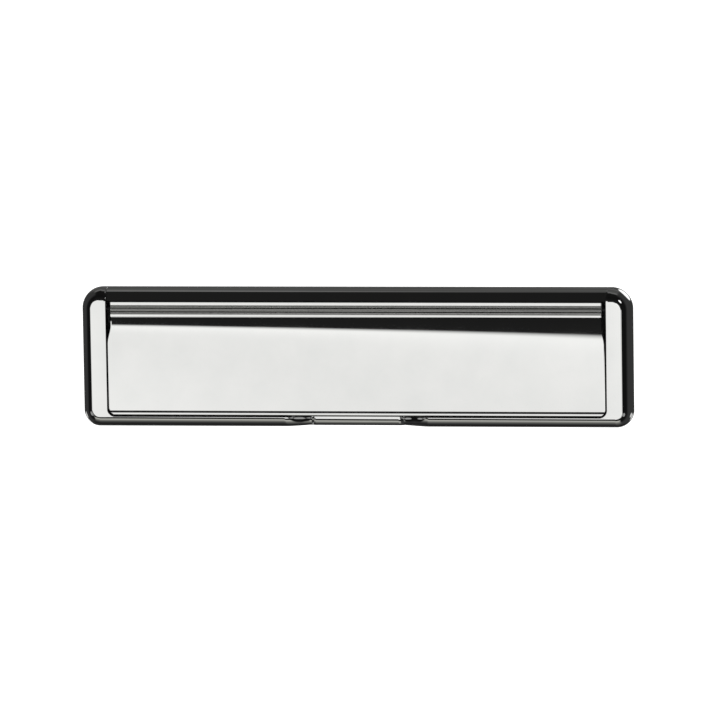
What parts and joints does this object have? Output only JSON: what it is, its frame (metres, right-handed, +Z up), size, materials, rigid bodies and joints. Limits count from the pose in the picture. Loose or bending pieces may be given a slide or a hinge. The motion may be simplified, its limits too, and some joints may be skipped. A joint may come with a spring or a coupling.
{
  "type": "letter plate",
  "caption": "Chrome letter plate with a sprung top-hinged flap, telescopic sleeve, brush draught seal and a smaller sprung inner plate",
  "frame": {"origin": "centre of the outer plate on the door's outer face", "axes": "+X along the plate to the right as seen from the street, +Y into the door towards the room, +Z up"},
  "size_m": [0.31, 0.0788, 0.079],
  "materials": {
    "chrome_plate": "polished",
    "rubber": "matt",
    "black_plastic": "satin",
    "steel": "drawn",
    "nylon": "matt",
    "zinc": "zinc plated",
    "aluminium": "mill",
    "bristle": "brush pile"
  },
  "bodies": {
    "outer_plate": {"outer_frame": "chrome_plate", "outer_gasket": "rubber", "outer_sleeve": "black_plastic", "outer_flap_seal": "rubber", "outer_hinge_rod": "steel", "outer_bush_left": "nylon", "outer_bush_right": "nylon", "outer_spring_left": "steel", "outer_spring_right": "steel"},
    "outer_flap_body": {"outer_flap": "chrome_plate", "outer_flap_buffer_left": "rubber", "outer_flap_buffer_right": "rubber"},
    "inner_plate": {"inner_frame": "chrome_plate", "inner_gasket": "rubber", "inner_sleeve": "black_plastic", "inner_flap_seal": "rubber", "inner_hinge_rod": "steel", "inner_bush_left": "nylon", "inner_bush_right": "nylon", "inner_spring_left": "steel", "inner_spring_right": "steel", "fixing_bolt_left": "zinc", "fixing_bolt_right": "zinc", "brush_carrier_top": "aluminium", "brush_carrier_bottom": "aluminium", "brush_pile_top": "bristle", "brush_pile_bottom": "bristle"},
    "inner_flap_body": {"inner_flap": "chrome_plate", "inner_flap_buffer_left": "rubber", "inner_flap_buffer_right": "rubber"}
  },
  "joints": [
    {"name": "outer_flap_hinge", "type": "hinge", "parent": "outer_plate", "child": "outer_flap_body", "pos_m": [0, -0.0082, 0.0277], "axis": [-1, 0, 0], "range_deg": [0, 100], "stiffness_Nm_per_rad": 0.03, "springref_deg": -57.3, "deforming": ["outer_spring_left", "outer_spring_right"]},
    {"name": "door_thickness_slide", "type": "slide", "parent": "outer_plate", "child": "inner_plate", "axis": [0, 1, 0], "range_m": [-0.011, 0.02]},
    {"name": "inner_flap_hinge", "type": "hinge", "parent": "inner_plate", "child": "inner_flap_body", "pos_m": [0, 0.062, 0.022], "axis": [1, 0, 0], "range_deg": [0, 100], "stiffness_Nm_per_rad": 0.015, "springref_deg": -57.3, "deforming": ["inner_spring_left", "inner_spring_right"]}
  ]
}
